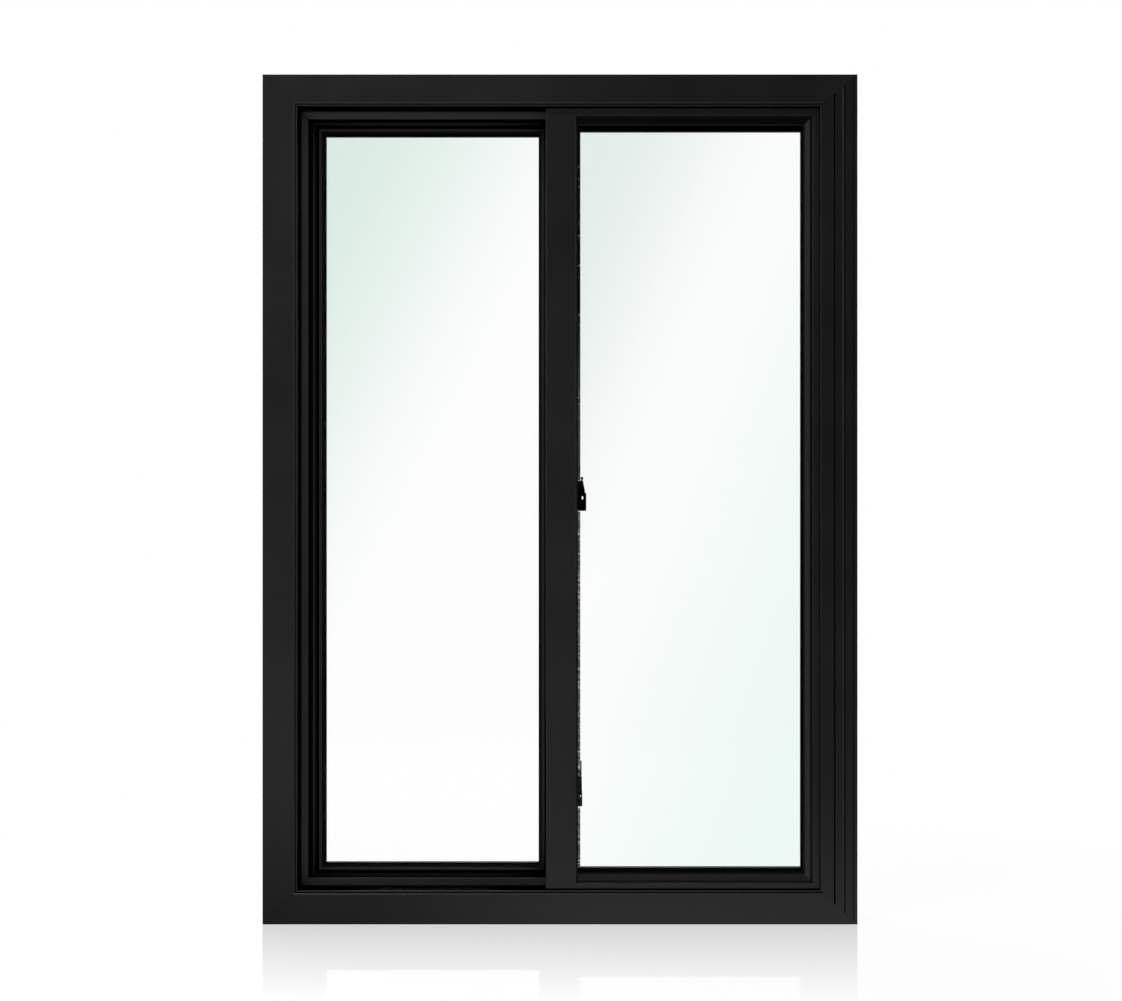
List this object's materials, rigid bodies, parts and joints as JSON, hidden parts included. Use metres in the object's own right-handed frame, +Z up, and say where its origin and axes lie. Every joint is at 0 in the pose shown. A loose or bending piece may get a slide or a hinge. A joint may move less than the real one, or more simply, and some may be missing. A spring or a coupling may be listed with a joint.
{
  "type": "horizontal sliding window",
  "caption": "Black vinyl horizontal sliding window: a fixed lite beside a sash that slides behind it, double glazed, with cam locks on the meeting stile.",
  "frame": {"origin": "middle of the sill's underside, half way through the frame's depth", "axes": "+X to the right as seen from outdoors, +Y from outdoors to indoors, +Z up"},
  "size_m": [0.7112, 0.0826, 1.016],
  "materials": {
    "frame_vinyl": "satin",
    "lite_vinyl": "satin",
    "sash_vinyl": "satin",
    "bead_vinyl": "satin",
    "glass": "gloss",
    "spacer": "matte",
    "gasket": "matte",
    "pile": "matte",
    "rail_metal": "satin",
    "nylon": "satin",
    "lock_metal": "satin"
  },
  "bodies": {
    "root": {"frame_head": "frame_vinyl", "frame_sill": "frame_vinyl", "left_jamb": "frame_vinyl", "right_jamb": "frame_vinyl", "fixed_top_rail": "lite_vinyl", "fixed_bottom_rail": "lite_vinyl", "fixed_side_stile": "lite_vinyl", "fixed_meeting_stile": "lite_vinyl", "sash_top_rail": "sash_vinyl", "sash_bottom_rail": "sash_vinyl", "sash_pull_stile": "sash_vinyl", "sash_meeting_stile": "sash_vinyl", "fixed_top_bead": "bead_vinyl", "fixed_bottom_bead": "bead_vinyl", "fixed_side_bead": "bead_vinyl", "sash_top_bead": "bead_vinyl", "sash_bottom_bead": "bead_vinyl", "sash_left_bead": "bead_vinyl", "sash_right_bead": "bead_vinyl", "fixed_outer_pane": "glass", "fixed_inner_pane": "glass", "sash_outer_pane": "glass", "sash_inner_pane": "glass", "fixed_spacer": "spacer", "sash_spacer": "spacer", "fixed_gasket": "gasket", "sash_gasket": "gasket", "head_pile": "pile", "sill_pile": "pile", "jamb_pile": "pile", "sash_edge_pile": "pile", "roller_rail": "rail_metal", "left_roller_carriage": "nylon", "right_roller_carriage": "nylon", "left_roller_wheel": "nylon", "right_roller_wheel": "nylon", "mid_lock_base": "lock_metal", "mid_lock_lever": "lock_metal", "mid_lock_keeper": "lock_metal", "low_lock_base": "lock_metal", "low_lock_lever": "lock_metal", "low_lock_keeper": "lock_metal"}
  },
  "joints": []
}
